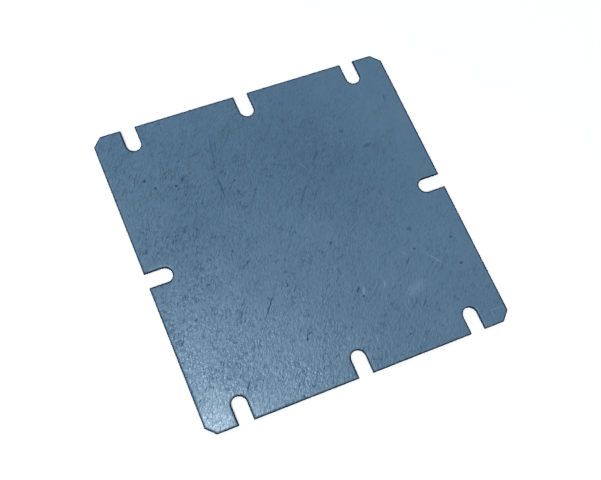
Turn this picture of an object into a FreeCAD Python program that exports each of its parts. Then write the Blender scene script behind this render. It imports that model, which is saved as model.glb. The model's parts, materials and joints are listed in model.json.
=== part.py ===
import FreeCAD, Part
import math
import os

# A flat mounting plate, sheared and punched from galvanised sheet steel in one piece.
# Millimetres. The sheet lies on XY with its underside at Z = 0 and the origin under its middle.
# X runs along the two edges that have three slots each, and Y along the two that have one.

# Blank
plate_length = 148.0  # along X
plate_width = 148.0  # along Y
sheet_thickness = 1.5
corner_flat = 6.0  # width of the flat that crops each corner at 45 degrees

# Slots, open at the edge and half round at the inner end
slot_width = 7.0  # lets an M6 screw pass, with room to shift
slot_depth = 12.0  # from the edge to the crown of the round end
slot_inset = 17.5  # from a side edge to the centre line of the slot next to it

# Cut edge, the same round the outline and the slots
roll_width = 1.2  # how far in from the edge the face starts to roll over
roll_depth = 0.3  # how far the rolled rim has gone down at the edge
sheared_land = 0.45  # straight bright wall under the rolled rim
break_set = 0.07  # how far the torn wall under the land falls back at the underside

# How far the waste that is cut away reaches past the metal
waste = 0.5


def side_edges(half_run, reach, slot_centres):
    """Edges of one side, which runs towards +X at Y = -reach, and of the corner flat at its end."""
    corner_leg = corner_flat / math.sqrt(2)
    crown = slot_depth - reach
    spring = crown - slot_width / 2
    edges = []
    here = FreeCAD.Vector(corner_leg - half_run, -reach)
    for centre in slot_centres:
        mouth_in = FreeCAD.Vector(centre - slot_width / 2, -reach)
        bend_in = FreeCAD.Vector(centre - slot_width / 2, spring)
        bend_out = FreeCAD.Vector(centre + slot_width / 2, spring)
        mouth_out = FreeCAD.Vector(centre + slot_width / 2, -reach)
        edges.append(Part.LineSegment(here, mouth_in).toShape())
        edges.append(Part.LineSegment(mouth_in, bend_in).toShape())
        edges.append(Part.Arc(bend_in, FreeCAD.Vector(centre, crown), bend_out).toShape())
        edges.append(Part.LineSegment(bend_out, mouth_out).toShape())
        here = mouth_out
    flat_start = FreeCAD.Vector(half_run - corner_leg, -reach)
    flat_end = FreeCAD.Vector(half_run, corner_leg - reach)
    edges.append(Part.LineSegment(here, flat_start).toShape())
    edges.append(Part.LineSegment(flat_start, flat_end).toShape())
    return edges


def outline():
    """Closed outline of the plate with its slots. It starts where a round end runs on into a wall."""
    half_length = plate_length / 2
    half_width = plate_width / 2
    outer_slot = half_length - slot_inset
    long_side = (half_length, half_width, (-outer_slot, 0, outer_slot))
    short_side = (half_width, half_length, (0,))
    edges = []
    for quarter, side in enumerate((long_side, short_side, long_side, short_side)):
        turn = FreeCAD.Rotation(FreeCAD.Vector(0, 0, 1), 90 * quarter)
        quarter_turn = FreeCAD.Placement(FreeCAD.Vector(), turn).toMatrix()
        edges += [edge.transformed(quarter_turn) for edge in side_edges(*side)]
    first_wall = 1 + next(i for i, edge in enumerate(edges) if isinstance(edge.Curve, Part.Circle))
    return Part.Wire(edges[first_wall:] + edges[:first_wall])


def edges_at(solid, height):
    """All edges of the solid that lie flat at a height."""
    level = []
    for edge in solid.Edges:
        box = edge.BoundBox
        if max(abs(box.ZMin - height), abs(box.ZMax - height)) < 1e-6:
            level.append(edge)
    return level


def rim_waste(rim):
    """What the rolled rim leaves out of a square edge: its section, swept round the rim."""
    start, following = [vertex.Point for vertex in rim.OrderedVertexes[:2]]
    up = FreeCAD.Vector(0, 0, 1)
    inward = up.cross(following - start).normalize()

    # The roll is an arc that leaves the face flat and meets the land at an angle
    radius = (roll_width**2 + roll_depth**2) / (2 * roll_depth)
    half_turn = math.asin(roll_width / radius) / 2
    crest = start + inward * roll_width
    middle = crest - inward * radius * math.sin(half_turn) - up * radius * (1 - math.cos(half_turn))
    foot = start - up * roll_depth
    section = Part.Wire(
        [
            Part.Arc(crest, middle, foot).toShape(),
            Part.LineSegment(foot, foot - inward * waste).toShape(),
            Part.LineSegment(foot - inward * waste, start - inward * waste + up * waste).toShape(),
            Part.LineSegment(start - inward * waste + up * waste, crest + up * waste).toShape(),
            Part.LineSegment(crest + up * waste, crest).toShape(),
        ]
    )
    square_corners = 1
    sweep = Part.BRepOffsetAPI.MakePipeShell(rim)
    sweep.setFrenetMode(False)
    sweep.setTransitionMode(square_corners)
    sweep.add(section, False, False)
    sweep.build()
    sweep.makeSolid()
    return sweep.shape()


def base_plate():
    """The plate: a punched blank with its torn lower wall and the rolled rim round its face."""
    rim = outline()
    blank = Part.Face(rim).extrude(FreeCAD.Vector(0, 0, sheet_thickness))
    torn_wall = sheet_thickness - roll_depth - sheared_land
    torn = blank.makeChamfer(torn_wall, break_set, edges_at(blank, 0))
    rim.translate(FreeCAD.Vector(0, 0, sheet_thickness))
    return torn.cut(rim_waste(rim))


os.makedirs("parts", exist_ok=True)
plate = base_plate()
plate.exportStep("parts/base_plate.step")
print("base_plate: solids", len(plate.Solids), "valid", plate.isValid(), "volume", round(plate.Volume))
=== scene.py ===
import json
import math

import bmesh
import bpy
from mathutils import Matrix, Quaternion, Vector, noise


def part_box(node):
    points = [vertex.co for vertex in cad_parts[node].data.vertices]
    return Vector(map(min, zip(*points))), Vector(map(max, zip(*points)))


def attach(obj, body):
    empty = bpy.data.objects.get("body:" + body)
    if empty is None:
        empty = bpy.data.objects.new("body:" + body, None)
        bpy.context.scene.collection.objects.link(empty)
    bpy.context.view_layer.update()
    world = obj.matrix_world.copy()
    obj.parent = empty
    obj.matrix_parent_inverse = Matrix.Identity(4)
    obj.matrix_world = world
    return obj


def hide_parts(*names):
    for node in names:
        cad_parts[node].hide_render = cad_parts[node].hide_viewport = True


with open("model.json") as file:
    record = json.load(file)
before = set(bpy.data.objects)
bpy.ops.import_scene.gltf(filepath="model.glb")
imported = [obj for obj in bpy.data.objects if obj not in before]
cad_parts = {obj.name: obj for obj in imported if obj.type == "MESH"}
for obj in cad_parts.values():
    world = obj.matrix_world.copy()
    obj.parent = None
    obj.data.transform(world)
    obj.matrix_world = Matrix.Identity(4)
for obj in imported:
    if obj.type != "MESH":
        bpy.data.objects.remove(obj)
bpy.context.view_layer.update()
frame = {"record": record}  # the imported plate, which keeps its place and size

mm = 0.001
merging = 0.01 * mm  # points nearer than this become one
touching = 0.001 * mm  # and what is nearer than this to a plane or a height counts as on it
midNoise = 0.5  # middle level of every noise
print("frame loaded")


def linear(hexColour):
    # sRGB hex to the linear colour that a shader takes
    channels = [int(hexColour[i:i + 2], 16) / 255 for i in (1, 3, 5)]
    return [c / 12.92 if c <= 0.04045 else ((c + 0.055) / 1.055) ** 2.4 for c in channels] + [1.0]


def addNode(tree, kind, inputs=None, **settings):
    # inputs go by socket name or number: each is a value, a socket, or a node that gives its first output
    node = tree.nodes.new("ShaderNode" + kind)
    for name, value in settings.items():
        setattr(node, name, value)
    for socket, value in (inputs or {}).items():
        if isinstance(value, bpy.types.Node):
            value = next(output for output in value.outputs if output.enabled)
        if isinstance(value, bpy.types.NodeSocket):
            tree.links.new(value, node.inputs[socket])
        else:
            node.inputs[socket].default_value = value
    return node


def newMaterial(name):
    material = bpy.data.materials.new(name)
    material.use_nodes = True
    tree = material.node_tree
    return material, tree, tree.nodes["Principled BSDF"]


# The plate: outline and slots come from the frame, the cut edge from the sizes here
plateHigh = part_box("base_plate")[1]  # its corner towards +X, +Y and +Z
mounts = {mount["name"]: mount["dims"] for mount in frame["record"]["mounts"]}
plate = {
    "cornerFlat": 6.0 * mm,     # width of the flat across each corner
    "roundEndSteps": 12,        # steps in each quarter of a slot's round end
    "edgeStep": 1.3 * mm,       # least spacing of points on straight edges, more than the roll's width
    "rollWidth": 1.2 * mm,      # how far in the face starts to roll over
    "rollDepth": 0.3 * mm,      # how far the rim has gone down at the edge
    "rollRings": 6,
    "landHeight": 0.45 * mm,    # bright sheared wall under the roll
    "breakSet": 0.07 * mm,      # how far the torn wall falls back at the underside
    "breakWander": 0.10 * mm,   # how far the line between land and torn wall wanders
    "breakPatch": 3.2 * mm,     # length of one wander of that line
    "breakSeed": 3,
    "tornRings": 4,
    "tornGrit": 0.02 * mm,      # depth of the torn wall's hollows
    "tornPatch": 1.5 * mm,      # size of one hollow
    "tornSeed": 11,
    "faceCell": 2.0 * mm,       # spacing of the grid on the two faces
    "faceWave": 0.012 * mm,     # height of the faint waves in the upper face
    "waveLength": 17.0 * mm,
    "waveSeed": 7,
    "sharpFrom": 30,            # degrees between two facets from which their edge looks sharp
}
halfX = plateHigh.x
halfY = plateHigh.y
sheetTop = plateHigh.z
landTop = sheetTop - plate["rollDepth"]
landLow = landTop - plate["landHeight"]
slotRadius = mounts["corner_slots"]["hole_r_mm"] * mm
rowX = mounts["corner_slots"]["spacing_x_mm"] * mm / 2  # the outer slots of the two long rows
endY = mounts["middle_slots_y"]["spacing_y_mm"] * mm / 2 - slotRadius  # how near the middle they reach
endX = mounts["middle_slots_x"]["spacing_x_mm"] * mm / 2 - slotRadius
onFace, onLand, onTornWall = range(3)  # the plate's finishes, in the order of its materials


def inSlot(point):
    # A long row has three slots, and each of the other two sides has one in its middle
    inRow = any(abs(point.x - centre) < slotRadius for centre in (-rowX, 0, rowX))
    return (abs(point.y) > endY and inRow) or (abs(point.x) > endX and abs(point.y) < slotRadius)


def punchOutline(bm):
    # A square sheet with its corners cropped
    bmesh.ops.create_grid(bm, x_segments=1, y_segments=1, size=1)
    bmesh.ops.scale(bm, vec=(halfX, halfY, 1), verts=bm.verts)
    bmesh.ops.bevel(bm, geom=bm.verts[:], offset=plate["cornerFlat"] / math.sqrt(2), offset_type="OFFSET",
                    segments=1, profile=0.5, affect="VERTICES", material=-1)
    # Score lines along the slots, then the slots' pieces fall out and the rest is one face again
    alongX = Vector((1, 0, 0))
    alongY = Vector((0, 1, 0))
    scores = [(alongX * (centre + side), alongX) for centre in (-rowX, 0, rowX)
              for side in (-slotRadius, slotRadius)]
    for side in (-1, 1):
        scores += [(alongY * side * slotRadius, alongY), (alongY * side * endY, alongY)]
        scores += [(alongX * side * endX, alongX)]
    for place, direction in scores:
        bmesh.ops.bisect_plane(bm, geom=bm.verts[:] + bm.edges[:] + bm.faces[:], dist=touching,
                               plane_co=place, plane_no=direction)
    waste = [face for face in bm.faces if inSlot(face.calc_center_median())]
    bmesh.ops.delete(bm, geom=waste, context="FACES")
    bmesh.ops.dissolve_limit(bm, angle_limit=math.radians(1), verts=bm.verts[:], edges=bm.edges[:])
    # The square inner end of each slot is rounded
    inner = [v for v in bm.verts if min(halfX - abs(v.co.x), halfY - abs(v.co.y)) > slotRadius]
    bmesh.ops.bevel(bm, geom=inner, offset=slotRadius, offset_type="OFFSET",
                    segments=plate["roundEndSteps"], profile=0.5, affect="VERTICES", material=-1)
    bmesh.ops.remove_doubles(bm, verts=bm.verts[:], dist=merging)
    # Only the outline is kept, and its straight stretches get points of their own
    bmesh.ops.delete(bm, geom=bm.faces[:], context="FACES_ONLY")
    for edge in bm.edges[:]:
        cuts = int(edge.calc_length() / plate["edgeStep"]) - 1
        if cuts > 0:
            bmesh.ops.subdivide_edges(bm, edges=[edge], cuts=cuts)


def fillLevel(bm, edges, up):
    # One level face over a ring of edges, which looks up or down
    face = bmesh.ops.edgeloop_fill(bm, edges=edges)["faces"][0]
    face.normal_update()
    if (face.normal.z > 0) != up:
        face.normal_flip()
    return face


def raiseEdge(bm):
    # Torn wall: the underside is a little smaller than the outline
    underside = fillLevel(bm, bm.edges[:], False)
    bmesh.ops.inset_region(bm, faces=[underside], thickness=plate["breakSet"], use_even_offset=True,
                           use_boundary=True)
    outer = {v for edge in bm.edges if edge.is_boundary for v in edge.verts}
    for v in outer:
        v.co.z = landLow
    uprights = [edge for edge in bm.edges if len(outer.intersection(edge.verts)) == 1]
    bmesh.ops.subdivide_edges(bm, edges=uprights, cuts=plate["tornRings"] - 1, use_grid_fill=True)
    for face in bm.faces:
        face.material_index = onFace if face.calc_center_median().z < touching else onTornWall
    # Land: straight up
    rim = [edge for edge in bm.edges if edge.is_boundary]
    raised = bmesh.ops.extrude_edge_only(bm, edges=rim)["geom"]
    bmesh.ops.translate(bm, vec=(0, 0, plate["landHeight"]),
                        verts=[item for item in raised if isinstance(item, bmesh.types.BMVert)])
    for item in raised:
        if isinstance(item, bmesh.types.BMFace):
            item.material_index = onLand
    # Roll: the face goes over the edge in an arc that leaves the flat smoothly
    face = fillLevel(bm, [edge for edge in bm.edges if edge.is_boundary], True)
    face.material_index = onFace
    radius = (plate["rollWidth"] ** 2 + plate["rollDepth"] ** 2) / (2 * plate["rollDepth"])
    steep = math.asin(plate["rollWidth"] / radius)
    turns = [steep * (1 - ring / plate["rollRings"]) for ring in range(plate["rollRings"] + 1)]
    for low, high in zip(turns, turns[1:]):
        bmesh.ops.inset_region(bm, faces=[face], thickness=radius * (math.sin(low) - math.sin(high)),
                               depth=radius * (math.cos(high) - math.cos(low)), use_even_offset=True)
    bmesh.ops.recalc_face_normals(bm, faces=bm.faces[:])


def scoreFaces(bm):
    # Both flat faces get a grid, so that the upper one can carry its faint waves
    upright = 0.9999  # the roll's normals lean more than this
    for direction, reach in ((Vector((1, 0, 0)), halfX), (Vector((0, 1, 0)), halfY)):
        for line in range(1, round(2 * reach / plate["faceCell"])):
            faces = [face for face in bm.faces if abs(face.normal.z) > upright]
            edges = {edge for face in faces for edge in face.edges}
            verts = {v for face in faces for v in face.verts}
            bmesh.ops.bisect_plane(bm, geom=faces + list(edges) + list(verts), dist=touching,
                                   plane_co=direction * (line * plate["faceCell"] - reach),
                                   plane_no=direction)


def wander(point, patch, seed):
    return noise.noise(point / patch + Vector((seed, seed, seed)))


def roughenEdge(bm):
    for v in bm.verts:
        place = v.co.copy()
        flatPlace = Vector((place.x, place.y, 0))
        if touching < place.z < landLow + touching:
            # The line under the land wanders up and down, and the wall below it is hollowed
            share = place.z / landLow
            rise = wander(flatPlace, plate["breakPatch"], plate["breakSeed"])
            v.co.z += share * plate["breakWander"] * rise
            outward = Vector((v.normal.x, v.normal.y, 0)).normalized()
            if place.z < landLow - touching:
                hollow = 1 + wander(place, plate["tornPatch"], plate["tornSeed"])
                v.co -= outward * plate["tornGrit"] * hollow
        elif place.z > landTop - touching:
            v.co.z += plate["faceWave"] * wander(flatPlace, plate["waveLength"], plate["waveSeed"])


def makePlate(materials):
    bm = bmesh.new()
    punchOutline(bm)
    raiseEdge(bm)
    scoreFaces(bm)
    bm.normal_update()
    roughenEdge(bm)
    for face in bm.faces:
        face.smooth = True
    bm.normal_update()
    for edge in bm.edges:
        edge.smooth = edge.calc_face_angle(0) < math.radians(plate["sharpFrom"])
    mesh = bpy.data.meshes.new("base_plate_sheet")
    bm.to_mesh(mesh)
    bm.free()
    for material in materials:
        mesh.materials.append(material)
    sheet = bpy.data.objects.new("base_plate_sheet", mesh)
    bpy.context.scene.collection.objects.link(sheet)
    return sheet


# Galvanised zinc, on both faces and on the roll
zinc = {
    "pit": "#4F6C84",               # oxide in the pits
    "metal": "#9DB8CB",             # zinc with the blue-grey cast of its passivated skin
    "bright": "#C6DAE8",            # fresh zinc on the high grains, and the top of the painted highlights
    "paintedEdgeShade": "#35506A",               # painted shade: a dark band on the roll beside the cut, standing for the shade along the edge
    # Noise layers: size across, along and upwards (mm), direction in degrees from X, detail
    "layers": {
        "grain": (0.95, 2.1, 0.95, 48, 2.5),      # minimised spangle, long in the rolling direction
        "fleck": (0.62, 2.1, 0.62, 55, 1.0),      # dull flecks in it
        "relief": (0.80, 1.9, 0.80, 50, 1.3),     # its facets, which tilt and so catch the light or miss it
        "calm": (8.0, 11.0, 8.0, 30, 1.0),        # where the spangle is lively and where it is calm
        "streak": (2.8, 8.0, 2.8, 50, 2.0),       # soft streaks that the rolls leave
        "patch": (24.0, 24.0, 24.0, 0, 1.0),
        "cluster": (6.0, 10.0, 6.0, 58, 1.0),     # where the pits crowd
        "bend": (0.8, 0.8, 0.8, 0, 1.0),          # pulls pits and marks out of their even shape
        "edge": (1.2, 1.2, 20.0, 0, 2.0),         # the rub's uneven line, the same all the way up the edge
        "crease": (2.8, 5.4, 2.8, 54, 2.0),       # fine dark creases run along its middle level
        "broken": (2.2, 3.4, 2.2, 20, 1.0),       # breaks them into short pieces
    },
    "noiseFall": 0.6,               # how strong each finer step of a noise is against the one before
    "noiseWarp": 0.6,
    # Tone runs from the pits at 0 over plain zinc to fresh zinc at 1. The others here are shares of it
    "plainTone": 0.5,
    "tones": {"streak": 0.18, "patch": 0.12},
    "grainTone": 0.58,
    # share of the painted lit and shaded sides of the grains
    "paintedSideShadeTone": 0.55,
    "fleckTone": 0.10,
    "creaseTone": 0.20,
    "pitTone": 0.11,
    "paintedLitSideStep": (0.24, -0.18, 0),  # mm: the step from a grain's painted shaded side to its painted lit side
    "calmRange": (0.3, 0.7),        # levels of the calm layer at which the spangle is faintest and liveliest
    "livelyRange": (0.65, 1.35),    # and how strong it is there
    "highlightSideGain": (-5.2, -3.6, 0),        # per metre: the spangle's contrast gets stronger towards -X and -Y, where the highlight falls: painted sparkle in the colour, and stronger relief in the bump
    "highlightSideGainMiddle": 0.94,             # its strength in the middle of the sheet
    "highlightSideGainMost": 1.38,               # and at the most
    "fleckRange": (0.50, 0.72),     # levels at which a fleck starts and is full
    "creaseWidth": 0.05,            # half width, as a share of the noise's range
    "creaseRange": (0.50, 0.64),    # levels of the broken layer at which a crease starts and is full
    "reliefHeight": 0.095,          # mm
    "smooth": 0.27,                 # roughness of the high grains
    "smoothLevel": 0.7,             # level of the grain layer at which it is that smooth
    "roughGain": 0.25,              # how much rougher the zinc is one whole level lower
    "pitCell": (1.15, 2.9),         # mm across and along the cell that one pit may fill
    "pitTurn": 58,
    "pitBend": 0.9,                 # share of a cell by which its shape is pulled
    "pitCrowd": 1.3,                # how much a cluster adds to the chance of a pit
    "pitRange": (1.1, 1.85),        # chances at which a cell has its first speck and its widest pit
    "pitSize": 0.36,                # share of its cell that the widest pit reaches
    "pitSlope": 0.14,               # share of a cell from a pit's rim to its floor
    "pitDepth": 0.015,              # mm
    "pitRough": 0.12,
    "strainFull": 0.035,            # mm below the face, where the bent zinc is at its roughest
    "strainRough": 0.28,
    "edgeShadeTop": 0.085,                # mm below the face, where the painted edge shade starts
    "edgeShadeFull": 0.125,               # mm below the face, where it is full
    "edgeShadeWander": 0.05,              # mm
    "edgeShadeLean": (0.22, 0.15, 0),     # mm: how much wider the painted shade is on rolls that face +X and +Y
    "leastEdgeShadeLean": -0.02,          # mm: and no narrower than by this on the rolls opposite
    "markBend": 0.5,                # mm: how far a mark wanders from its straight line
    # Marks on the face, and broad painted light and shade: middle x and y, direction, half length, half width
    # (mm), tone
    "marksAndPaintedLight": (
        # Scratches, light where the zinc is scraped bright and dark where dirt fills them
        (53.0, -35.2, -54, 7.2, 0.40, 0.60),
        (14.1, 28.2, -64, 4.2, 0.42, 0.36),
        (40.6, -28.2, -60, 2.2, 0.45, 0.50),
        (25.5, -38.3, 68, 2.1, 0.55, 0.80),
        (68.5, -67.2, 2, 4.5, 0.45, 0.50),
        (66.4, -69.0, 90, 3.5, 0.45, 0.45),
        (-50.0, -6.0, 1, 15.0, 0.38, 0.28),
        (20.8, 31.0, 51, 6.6, 0.40, -0.40),
        (8.0, 15.0, 52, 9.5, 0.40, -0.28),
        (-23.9, 49.5, 78, 12.5, 0.42, -0.36),
        (-26.5, 31.0, 88, 7.5, 0.42, -0.42),
        (-21.0, 53.5, 74, 6.5, 0.40, -0.28),
        (-19.6, 26.5, -74, 4.5, 0.40, -0.32),
        (-14.0, 54.8, 53, 5.0, 0.40, -0.25),
        (-33.0, 51.0, 8, 5.5, 0.40, -0.25),
        (-28.6, -31.0, 51, 13.0, 0.40, -0.48),
        (-37.8, -43.3, 51, 4.2, 0.45, -0.35),
        # Short strokes in the rolling direction
        (-50.0, -59.8, 55, 3.8, 0.60, -0.60),
        (-40.6, -29.1, 52, 1.9, 0.50, -0.45),
        (-52.0, -22.6, 52, 1.8, 0.55, -0.50),
        (-29.6, -7.6, 35, 3.2, 0.50, -0.38),
        (-16.3, -22.6, 80, 2.4, 0.40, -0.35),
        (-13.4, -26.0, 42, 3.4, 0.40, -0.35),
        (40.2, -32.2, 48, 2.7, 0.45, -0.50),
        (66.5, 50.0, 70, 2.6, 0.50, -0.40),
        (-42.0, 41.0, 50, 1.8, 0.50, -0.50),
        # Spots
        (15.0, -38.4, 70, 2.8, 1.20, 0.48),
        (14.1, -40.3, 20, 0.8, 0.60, -0.90),
        (13.0, -36.4, 48, 1.9, 0.55, -0.85),
        (-45.5, 38.8, 0, 0.9, 0.75, -0.70),
        (-55.0, 41.0, 60, 1.0, 0.80, -0.65),
        (-58.3, 46.0, 60, 1.2, 0.70, -0.60),
        (-40.4, 50.2, 0, 0.8, 0.70, -0.40),
        (-37.4, 27.0, 40, 1.3, 0.70, -0.42),
        (-19.3, 32.6, 0, 1.0, 0.60, -0.60),
        (-49.3, -10.9, 0, 0.8, 0.75, -0.65),
        (-17.8, -49.8, 20, 1.3, 0.70, -0.55),
        (10.5, -11.5, 0, 1.0, 0.80, -0.50),
        (46.0, -27.6, 0, 1.1, 0.80, -0.60),
        (65.0, -28.2, 0, 1.1, 0.75, -0.65),
        (63.8, -41.5, 20, 1.1, 0.70, -0.65),
        (38.6, 39.7, 0, 1.5, 1.30, -0.35),
        (47.0, 28.8, 10, 3.2, 1.30, -0.30),
        (48.0, -17.5, 0, 1.9, 1.50, -0.30),
        # Broad stains: a small light stain, then broad painted light and shade across the face
        (38.3, -45.0, 20, 7.2, 3.8, 0.30),
        (27.0, 24.0, -36, 85.0, 38.0, -0.12),
        # painted highlight at the corner towards -X and -Y
        (-71.0, -71.0, 45, 20.0, 20.0, 0.34),
        (-53.0, -53.0, -45, 24.0, 11.0, -0.12),
        (-45.0, 18.0, 70, 55.0, 42.0, -0.08),
        (76.0, -10.0, 90, 110.0, 62.0, 0.12),
    ),
}


def zincLayer(tree, place, name):
    across, along, up, turn, detail = zinc["layers"][name]
    turned = addNode(tree, "Mapping", {"Vector": place, "Rotation": (0, 0, math.radians(turn)),
                                       "Scale": (along * mm, across * mm, up * mm)}, vector_type="TEXTURE")
    inputs = {"Vector": turned, "W": list(zinc["layers"]).index(name), "Scale": 1.0, "Detail": detail,
              "Roughness": zinc["noiseFall"], "Distortion": zinc["noiseWarp"]}
    return addNode(tree, "TexNoise", inputs, noise_dimensions="4D")


def zincLiveliness(tree, place, layers):
    # How strong the spangle is: livelier and calmer patches, and all of it stronger towards -X and -Y, where
    # the highlight falls, which paints sparkle into the colour there
    low, high = zinc["calmRange"]
    least, most = zinc["livelyRange"]
    lively = addNode(tree, "MapRange", {"Value": layers["calm"], "From Min": low, "From Max": high,
                                        "To Min": least, "To Max": most})
    highlightSideGain = addNode(tree, "VectorMath", {0: place, 1: zinc["highlightSideGain"]}, operation="DOT_PRODUCT")
    highlightSideGain = addNode(tree, "Math", {0: highlightSideGain, 1: zinc["highlightSideGainMiddle"]}, operation="ADD")
    highlightSideGain = addNode(tree, "Math", {0: highlightSideGain, 1: zinc["highlightSideGainMost"]}, operation="MINIMUM")
    return addNode(tree, "Math", {0: lively, 1: highlightSideGain}, operation="MULTIPLY")


def zincPits(tree, place, layers):
    # Long Voronoi cells pulled out of shape, of which some hold a pit, more of them inside a cluster
    across, along = zinc["pitCell"]
    turned = addNode(tree, "Mapping", {"Vector": place, "Rotation": (0, 0, math.radians(zinc["pitTurn"])),
                                       "Scale": (along * mm, across * mm, across * mm)},
                     vector_type="TEXTURE")
    bend = (zinc["pitBend"], zinc["pitBend"], zinc["pitBend"])
    bent = addNode(tree, "VectorMath", {0: layers["bend"].outputs["Color"], 1: bend, 2: turned},
                   operation="MULTIPLY_ADD")
    cells = addNode(tree, "TexVoronoi", {"Vector": bent, "Scale": 1.0})
    chance = addNode(tree, "SeparateColor", {0: cells.outputs["Color"]})
    chance = addNode(tree, "Math", {0: layers["cluster"], 1: zinc["pitCrowd"], 2: chance},
                     operation="MULTIPLY_ADD")
    low, high = zinc["pitRange"]
    size = addNode(tree, "MapRange", {"Value": chance, "From Min": low, "From Max": high,
                                      "To Max": zinc["pitSize"]})
    depth = addNode(tree, "Math", {0: size, 1: cells}, operation="SUBTRACT")
    return addNode(tree, "MapRange", {"Value": depth, "From Max": zinc["pitSlope"]},
                   interpolation_type="SMOOTHSTEP")


def zincCreases(tree, layers):
    # Fine broken lines where one noise crosses its middle level, and only where another one is high
    level = addNode(tree, "Math", {0: layers["crease"], 1: midNoise}, operation="SUBTRACT")
    level = addNode(tree, "Math", {0: level}, operation="ABSOLUTE")
    line = addNode(tree, "MapRange", {"Value": level, "From Max": zinc["creaseWidth"], "To Min": 1.0,
                                      "To Max": 0.0}, interpolation_type="SMOOTHSTEP")
    low, high = zinc["creaseRange"]
    shown = addNode(tree, "MapRange", {"Value": layers["broken"], "From Min": low, "From Max": high})
    return addNode(tree, "Math", {0: line, 1: shown}, operation="MULTIPLY")


def zincMarksAndPaintedLight(tree, place, layers, tone):
    # Each mark, and each patch of painted light and shade, is a ball stretched to a streak, which fades to
    # its rim and lies only in the upper face
    bend = zinc["markBend"] * mm
    bent = addNode(tree, "VectorMath", {0: layers["bend"].outputs["Color"], 1: (bend, bend, 0), 2: place},
                   operation="MULTIPLY_ADD")
    centred = addNode(tree, "VectorMath", {0: bent, 1: (bend / 2, bend / 2, 0)}, operation="SUBTRACT")
    for x, y, turn, length, width, strength in zinc["marksAndPaintedLight"]:
        turned = addNode(tree, "Mapping", {"Vector": centred, "Location": (x * mm, y * mm, sheetTop),
                                           "Rotation": (0, 0, math.radians(turn)),
                                           "Scale": (length * mm, width * mm, mm)}, vector_type="TEXTURE")
        ball = addNode(tree, "TexGradient", {"Vector": turned}, gradient_type="SPHERICAL").outputs["Fac"]
        tone = addNode(tree, "Math", {0: ball, 1: strength, 2: tone}, operation="MULTIPLY_ADD")
    return tone


def zincPaintedEdgeShade(tree, place, layers):
    # Painted shade: a dark band round the roll, between two heights, whose inner line wanders a little. It is
    # wider on the rolls that face +X and +Y, so that the far edges get a broader line of painted shade
    height = addNode(tree, "SeparateXYZ", {0: place}).outputs["Z"]
    facing = addNode(tree, "TexCoord").outputs["Normal"]
    lean = addNode(tree, "VectorMath", {0: facing, 1: Vector(zinc["edgeShadeLean"]) * mm}, operation="DOT_PRODUCT")
    lean = addNode(tree, "Math", {0: lean, 1: zinc["leastEdgeShadeLean"] * mm}, operation="MAXIMUM")
    height = addNode(tree, "Math", {0: height, 1: lean}, operation="SUBTRACT")
    wandering = addNode(tree, "Math", {0: layers["edge"], 1: zinc["edgeShadeWander"] * mm, 2: height},
                        operation="MULTIPLY_ADD")
    top = sheetTop + (zinc["edgeShadeWander"] / 2 - zinc["edgeShadeTop"]) * mm
    full = sheetTop + (zinc["edgeShadeWander"] / 2 - zinc["edgeShadeFull"]) * mm
    band = addNode(tree, "MapRange", {"Value": wandering, "From Min": full, "From Max": top, "To Min": 1.0,
                                      "To Max": 0.0}, interpolation_type="SMOOTHSTEP")
    upper = addNode(tree, "Math", {0: height, 1: sheetTop / 2}, operation="GREATER_THAN")
    return addNode(tree, "Math", {0: band, 1: upper}, operation="MULTIPLY")


def zincTone(tree, place, layers, lively, pits):
    tone = zinc["plainTone"] - midNoise * sum(zinc["tones"].values())
    for name, share in zinc["tones"].items():
        tone = addNode(tree, "Math", {0: layers[name], 1: share, 2: tone}, operation="MULTIPLY_ADD")
    grain = addNode(tree, "Math", {0: layers["grain"], 1: midNoise}, operation="SUBTRACT")
    # Painted light and shade on the grains: a painted lit side and a painted shaded side, from the relief
    # here against the relief a small step away
    beside = addNode(tree, "VectorMath", {0: place, 1: Vector(zinc["paintedLitSideStep"]) * mm}, operation="ADD")
    paintedGrainSides = addNode(tree, "Math", {0: zincLayer(tree, beside, "relief"), 1: layers["relief"]},
                    operation="SUBTRACT")
    low, high = zinc["fleckRange"]
    flecks = addNode(tree, "MapRange", {"Value": layers["fleck"], "From Min": low, "From Max": high},
                     interpolation_type="SMOOTHSTEP")
    creases = zincCreases(tree, layers)
    for pattern, share in ((grain, zinc["grainTone"]), (paintedGrainSides, zinc["paintedSideShadeTone"]),
                           (flecks, -zinc["fleckTone"]), (creases, -zinc["creaseTone"])):
        pattern = addNode(tree, "Math", {0: pattern, 1: lively}, operation="MULTIPLY")
        tone = addNode(tree, "Math", {0: pattern, 1: share, 2: tone}, operation="MULTIPLY_ADD")
    tone = addNode(tree, "Math", {0: pits, 1: -zinc["pitTone"], 2: tone}, operation="MULTIPLY_ADD")
    return zincMarksAndPaintedLight(tree, place, layers, tone)


def zincRoughness(tree, place, layers, pits):
    # Low grains and pits are rougher, and so is the roll, where the bent zinc has cracked
    rough = addNode(tree, "Math", {0: layers["grain"], 1: -zinc["roughGain"],
                                   2: zinc["smooth"] + zinc["roughGain"] * zinc["smoothLevel"]},
                    operation="MULTIPLY_ADD")
    rough = addNode(tree, "Math", {0: pits, 1: zinc["pitRough"], 2: rough}, operation="MULTIPLY_ADD")
    height = addNode(tree, "SeparateXYZ", {0: place}).outputs["Z"]
    strain = addNode(tree, "MapRange", {"Value": height, "From Min": sheetTop - zinc["strainFull"] * mm,
                                        "From Max": sheetTop, "To Min": zinc["strainRough"], "To Max": 0.0})
    return addNode(tree, "Math", {0: strain, 1: rough}, operation="ADD")


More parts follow.
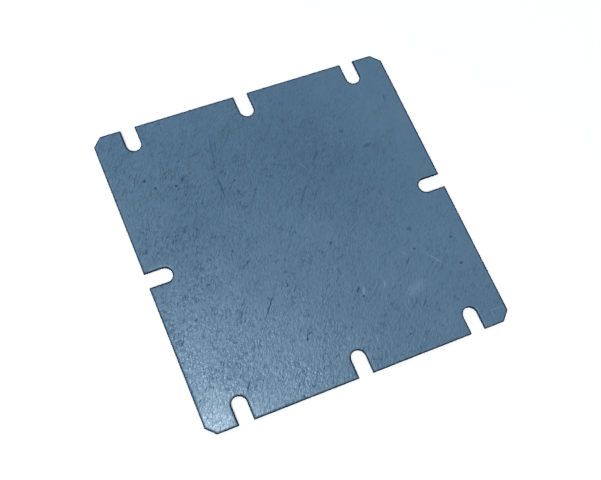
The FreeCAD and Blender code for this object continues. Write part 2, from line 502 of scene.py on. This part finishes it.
def galvanisedZinc():
    # Hot-dip galvanised sheet: blue-grey zinc with a fine leaning grain that sparkles towards the light,
    # partly through painted lit and shaded grain sides and painted contrast that grows towards -X and -Y,
    # short dark creases, pits in clusters, soft streaks, faint handling marks, broad painted light and shade
    # with a painted highlight at the corner towards -X and -Y, and a band of painted shade round the cut
    material, tree, shader = newMaterial("galvanised zinc, minimised spangle")
    place = addNode(tree, "TexCoord").outputs["Object"]
    layers = {name: zincLayer(tree, place, name) for name in zinc["layers"]}
    lively = zincLiveliness(tree, place, layers)
    pits = zincPits(tree, place, layers)

    ramp = addNode(tree, "ValToRGB", {0: zincTone(tree, place, layers, lively, pits)})
    ramp.color_ramp.elements[0].color = linear(zinc["pit"])
    ramp.color_ramp.elements[1].color = linear(zinc["bright"])
    ramp.color_ramp.elements.new(zinc["plainTone"]).color = linear(zinc["metal"])
    # painted shade round the cut, mixed into the colour
    paintedEdgeShade = zincPaintedEdgeShade(tree, place, layers)
    colour = addNode(tree, "Mix", {"Factor": paintedEdgeShade, "A": ramp, "B": linear(zinc["paintedEdgeShade"])}, data_type="RGBA")
    tree.links.new(colour.outputs[2], shader.inputs["Base Color"])
    shader.inputs["Metallic"].default_value = 1.0
    rough = zincRoughness(tree, place, layers, pits)
    tree.links.new(rough.outputs[0], shader.inputs["Roughness"])

    relief = addNode(tree, "Math", {0: layers["relief"], 1: midNoise}, operation="SUBTRACT")
    relief = addNode(tree, "Math", {0: relief, 1: lively}, operation="MULTIPLY")
    relief = addNode(tree, "Math", {0: relief, 1: zinc["reliefHeight"]}, operation="MULTIPLY")
    relief = addNode(tree, "Math", {0: pits, 1: -zinc["pitDepth"], 2: relief}, operation="MULTIPLY_ADD")
    bump = addNode(tree, "Bump", {"Height": relief, "Distance": mm})
    tree.links.new(bump.outputs["Normal"], shader.inputs["Normal"])
    return material


# Cut edge, below the roll
cut = {
    "smear": "#8CA2B2",         # zinc dragged down over the steel
    "burnishedSteelAndShade": "#586C79",     # steel that the punch has rubbed smooth, darkened further by painted shade
    "smearDepth": 0.25,         # mm below the top of the land
    "dragSpacing": 0.5,         # mm, several times the real spacing, so that the drag lines show at all
    "dragLength": 8,            # times their spacing
    "dragDetail": 2.0,
    "dragFall": 0.6,            # how strong each finer step of the noise is
    "dragHeight": 0.02,         # mm
    "landRough": 0.15,          # roughness between the drag lines
    "landRoughGain": 0.3,       # and how much rougher they are
    # bare steel, darkened further by painted shade of the cut wall
    "torn": "#26323C",
    "tornLit": "#3E4E5B",
    "tornGrain": 0.6,           # mm, coarser than the real fibres for the same reason
    "tornDetail": 3.0,
    "tornFall": 0.65,
    "tornRange": (0.3, 0.7),    # levels of the noise that are darkest and lightest
    "tornRough": 0.75,
    "tornRoughLoss": 0.3,       # how much smoother the high fibres are
    "tornHeight": 0.08,         # mm
}


def shearedZinc():
    # Land of the cut: smooth steel, darkened further by painted shade, with upright drag lines and a veil of
    # zinc pulled down from the face
    material, tree, shader = newMaterial("zinc-smeared steel, sheared")
    place = addNode(tree, "TexCoord").outputs["Object"]
    spacing = cut["dragSpacing"] * mm
    size = (spacing, spacing, cut["dragLength"] * spacing)
    turned = addNode(tree, "Mapping", {"Vector": place, "Scale": size}, vector_type="TEXTURE")
    drag = addNode(tree, "TexNoise", {"Vector": turned, "Scale": 1.0, "Detail": cut["dragDetail"],
                                      "Roughness": cut["dragFall"]})
    height = addNode(tree, "SeparateXYZ", {0: place}).outputs["Z"]
    depth = cut["smearDepth"] * mm
    ragged = addNode(tree, "Math", {0: drag, 1: 2 * depth, 2: height}, operation="MULTIPLY_ADD")
    smear = addNode(tree, "MapRange", {"Value": ragged, "From Min": landTop, "From Max": landTop + depth},
                    interpolation_type="SMOOTHSTEP")
    colour = addNode(tree, "Mix", {"Factor": smear, "A": linear(cut["burnishedSteelAndShade"]), "B": linear(cut["smear"])},
                     data_type="RGBA")
    tree.links.new(colour.outputs[2], shader.inputs["Base Color"])
    shader.inputs["Metallic"].default_value = 1.0
    rough = addNode(tree, "Math", {0: drag, 1: cut["landRoughGain"], 2: cut["landRough"]},
                    operation="MULTIPLY_ADD")
    tree.links.new(rough.outputs[0], shader.inputs["Roughness"])
    bump = addNode(tree, "Bump", {"Height": drag, "Distance": cut["dragHeight"] * mm})
    tree.links.new(bump.outputs["Normal"], shader.inputs["Normal"])
    return material


def tornSteel():
    # Fracture under the land: dull, grainy bare steel, darkened further by painted shade
    material, tree, shader = newMaterial("bare steel, torn")
    place = addNode(tree, "TexCoord").outputs["Object"]
    size = cut["tornGrain"] * mm
    turned = addNode(tree, "Mapping", {"Vector": place, "Scale": (size, size, size)}, vector_type="TEXTURE")
    fibre = addNode(tree, "TexNoise", {"Vector": turned, "Scale": 1.0, "Detail": cut["tornDetail"],
                                       "Roughness": cut["tornFall"]})
    low, high = cut["tornRange"]
    share = addNode(tree, "MapRange", {"Value": fibre, "From Min": low, "From Max": high},
                    interpolation_type="SMOOTHSTEP")
    colour = addNode(tree, "Mix", {"Factor": share, "A": linear(cut["torn"]), "B": linear(cut["tornLit"])},
                     data_type="RGBA")
    tree.links.new(colour.outputs[2], shader.inputs["Base Color"])
    shader.inputs["Metallic"].default_value = 1.0
    rough = addNode(tree, "Math", {0: fibre, 1: -cut["tornRoughLoss"], 2: cut["tornRough"]},
                    operation="MULTIPLY_ADD")
    tree.links.new(rough.outputs[0], shader.inputs["Roughness"])
    bump = addNode(tree, "Bump", {"Height": fibre, "Distance": cut["tornHeight"] * mm})
    tree.links.new(bump.outputs["Normal"], shader.inputs["Normal"])
    return material


sheet = makePlate([galvanisedZinc(), shearedZinc(), tornSteel()])
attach(sheet, "root")
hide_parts("base_plate")
print("plate made:", len(sheet.data.polygons), "faces")


# Studio: a pale floor that runs up into a pale backdrop far away (sizes in metres)
floor = {
    "drop": 0.02 * mm,          # how far it lies below the plate
    "radius": 3.0,
    "height": 1.2,
    "bend": 0.6,                # how far from its foot the backdrop starts to bend up
    "bendSteps": 10,
    "turnSteps": 96,
    "paint": "#F4F4F4",
    "glow": "#FDFDFD",          # far from the plate it shines by itself and so stays pale
    "glowRange": (0.3, 0.8),    # how far from the plate's middle that starts and is full
}


def paleStudio():
    # Matt white paint: flat and without any gloss
    material, tree, shader = newMaterial("matt white paint")
    shader.inputs["Base Color"].default_value = linear(floor["paint"])
    shader.inputs["Roughness"].default_value = 1.0
    shader.inputs["Specular IOR Level"].default_value = 0.0
    place = addNode(tree, "TexCoord").outputs["Object"]
    away = addNode(tree, "VectorMath", {0: place}, operation="LENGTH").outputs["Value"]
    near, far = floor["glowRange"]
    share = addNode(tree, "MapRange", {"Value": away, "From Min": near, "From Max": far},
                    interpolation_type="SMOOTHSTEP").outputs["Result"]
    glow = addNode(tree, "Emission", {"Color": linear(floor["glow"])}).outputs["Emission"]
    mixed = addNode(tree, "MixShader", {0: share, 1: shader.outputs["BSDF"], 2: glow}).outputs["Shader"]
    tree.links.new(mixed, tree.nodes["Material Output"].inputs["Surface"])
    return material


def makeStudio():
    bm = bmesh.new()
    corners = ((0, 0, 0), (floor["radius"], 0, 0), (floor["radius"], 0, floor["height"]))
    profile = [bm.verts.new(corner) for corner in corners]
    for low, high in zip(profile, profile[1:]):
        bm.edges.new((low, high))
    bmesh.ops.bevel(bm, geom=[profile[1]], offset=floor["bend"], offset_type="OFFSET",
                    segments=floor["bendSteps"], profile=0.5, affect="VERTICES", material=-1)
    bmesh.ops.spin(bm, geom=bm.verts[:] + bm.edges[:], angle=math.tau, steps=floor["turnSteps"],
                   axis=(0, 0, 1), cent=(0, 0, 0), use_merge=True)
    bmesh.ops.remove_doubles(bm, verts=bm.verts[:], dist=merging)
    bmesh.ops.translate(bm, vec=(0, 0, -floor["drop"]), verts=bm.verts)
    for face in bm.faces:
        face.smooth = True
    mesh = bpy.data.meshes.new("pale_floor")
    bm.to_mesh(mesh)
    bm.free()
    mesh.materials.append(paleStudio())
    stage = bpy.data.objects.new("pale_floor", mesh)
    bpy.context.scene.collection.objects.link(stage)
    stage.visible_glossy = False  # the metal mirrors the studio's dim air, as it does in the photo
    stage.visible_diffuse = False
    return stage


makeStudio()

# Studio air: what the metal mirrors
air = {
    "above": (0.258, 0.347, 0.437),
    "brightSide": (-0.7, 0.7, 0.0),     # overhead it is a little brighter on this side
    "lean": 0.9,                        # how much brighter, with the square of the distance from overhead
    "leastLean": 0.8,
    "rise": (-0.35, -0.35, 1.0),        # it gets light this way, so it is dimmest beyond the far corner
    "riseRange": (-0.2, 0.45),
    "belowBright": (0.28, 0.37, 0.46),  # below the bench it is bright on one side only
    "belowDim": (0.025, 0.038, 0.052),
    "belowSide": (-0.5, 0.5, -0.7),
    "belowRange": (0.4, 0.9),
    "horizon": (0.36, 0.47, 0.58),      # round the horizon it is light again
    "horizonRange": (0.2, 0.42),        # how far up and down that light reaches
}


def makeAir():
    world = bpy.data.worlds.new("studio air")
    world.use_nodes = True
    tree = world.node_tree
    direction = addNode(tree, "TexCoord").outputs["Generated"]
    side = addNode(tree, "VectorMath", {0: direction, 1: air["brightSide"]}, operation="DOT_PRODUCT")
    size = addNode(tree, "Math", {0: side}, operation="ABSOLUTE")
    lean = addNode(tree, "Math", {0: side, 1: size}, operation="MULTIPLY")
    lean = addNode(tree, "Math", {0: lean, 1: air["lean"], 2: 1.0}, operation="MULTIPLY_ADD")
    lean = addNode(tree, "Math", {0: lean, 1: air["leastLean"]}, operation="MAXIMUM")
    above = addNode(tree, "VectorMath", {0: air["above"], "Scale": lean}, operation="SCALE")

    under = addNode(tree, "VectorMath", {0: direction, 1: air["belowSide"]}, operation="DOT_PRODUCT")
    low, high = air["belowRange"]
    share = addNode(tree, "MapRange", {"Value": under, "From Min": low, "From Max": high},
                    interpolation_type="SMOOTHSTEP")
    below = addNode(tree, "Mix", {"Factor": share, "A": (*air["belowDim"], 1), "B": (*air["belowBright"], 1)},
                    data_type="RGBA")

    rise = addNode(tree, "VectorMath", {0: direction, 1: air["rise"]}, operation="DOT_PRODUCT")
    low, high = air["riseRange"]
    share = addNode(tree, "MapRange", {"Value": rise, "From Min": low, "From Max": high},
                    interpolation_type="SMOOTHSTEP")
    tint = addNode(tree, "Mix", {"Factor": share, "A": below, "B": above}, data_type="RGBA")

    level = addNode(tree, "SeparateXYZ", {0: direction}).outputs["Z"]
    level = addNode(tree, "Math", {0: level}, operation="ABSOLUTE")
    low, high = air["horizonRange"]
    share = addNode(tree, "MapRange", {"Value": level, "From Min": low, "From Max": high, "To Min": 1.0,
                                      "To Max": 0.0}, interpolation_type="SMOOTHSTEP")
    tint = addNode(tree, "Mix", {"Factor": share, "A": tint.outputs[2], "B": (*air["horizon"], 1)},
                   data_type="RGBA")
    tree.links.new(tint.outputs[2], tree.nodes["Background"].inputs["Color"])
    return world


bpy.context.scene.world = makeAir()


# Overhead bank: a wide warm light on the floor, which the metal does not mirror
bank = {
    "place": (-0.6, -0.7, 1.8),
    "aim": (0, 0, 0),
    "energy": 3.05,
    "angle": math.radians(30),
    "color": (1, 0.93, 0.868),
}

# Softbox: it shows in the metal alone, as the glow and the sparkle at the corner towards -X and -Y
softbox = {
    "place": (-0.055, -0.03, 0.65),
    "aim": (-0.05, -0.05, 0),
    "energy": 0.345,
    "shape": "SQUARE",
    "size": 0.2,
    "color": (1, 0.93, 0.86),
}


def addLight(name, kind, place, aim, **settings):
    light = bpy.data.lights.new(name, kind)
    for setting, value in settings.items():
        setattr(light, setting, value)
    lamp = bpy.data.objects.new(name, light)
    bpy.context.scene.collection.objects.link(lamp)
    lamp.location = place
    lamp.rotation_mode = "QUATERNION"
    lamp.rotation_quaternion = (Vector(aim) - Vector(place)).to_track_quat("-Z", "Y")
    return lamp


addLight("overhead bank", "SUN", **bank).visible_glossy = False
addLight("softbox", "AREA", **softbox).visible_diffuse = False
print("studio lit")

# Camera: the photo's place, aim and roll (degrees, and the lens and sensor in mm)
camera = {
    "azimuth": -41.355,
    "elevation": 66.112,
    "roll": 19.637,
    "distance": 466.86 * mm,
    "aim": Vector((-2.23, -5.39, 1.5)) * mm,
    "lens": 61.41,
    "sensor": 36,
}
azimuth = math.radians(camera["azimuth"])
elevation = math.radians(camera["elevation"])
level = math.cos(elevation)
back = Vector((math.sin(azimuth) * level, -math.cos(azimuth) * level, math.sin(elevation)))
roll = Quaternion((0, 0, 1), math.radians(camera["roll"]))
lens = bpy.data.cameras.new("camera")
lens.lens = camera["lens"]
lens.sensor_width = camera["sensor"]
view = bpy.data.objects.new("camera", lens)
bpy.context.scene.collection.objects.link(view)
view.location = camera["aim"] + back * camera["distance"]
view.rotation_mode = "QUATERNION"
view.rotation_quaternion = (-back).to_track_quat("-Z", "Y") @ roll
bpy.context.scene.camera = view
bpy.context.scene.view_settings.view_transform = "Standard"

print("done")
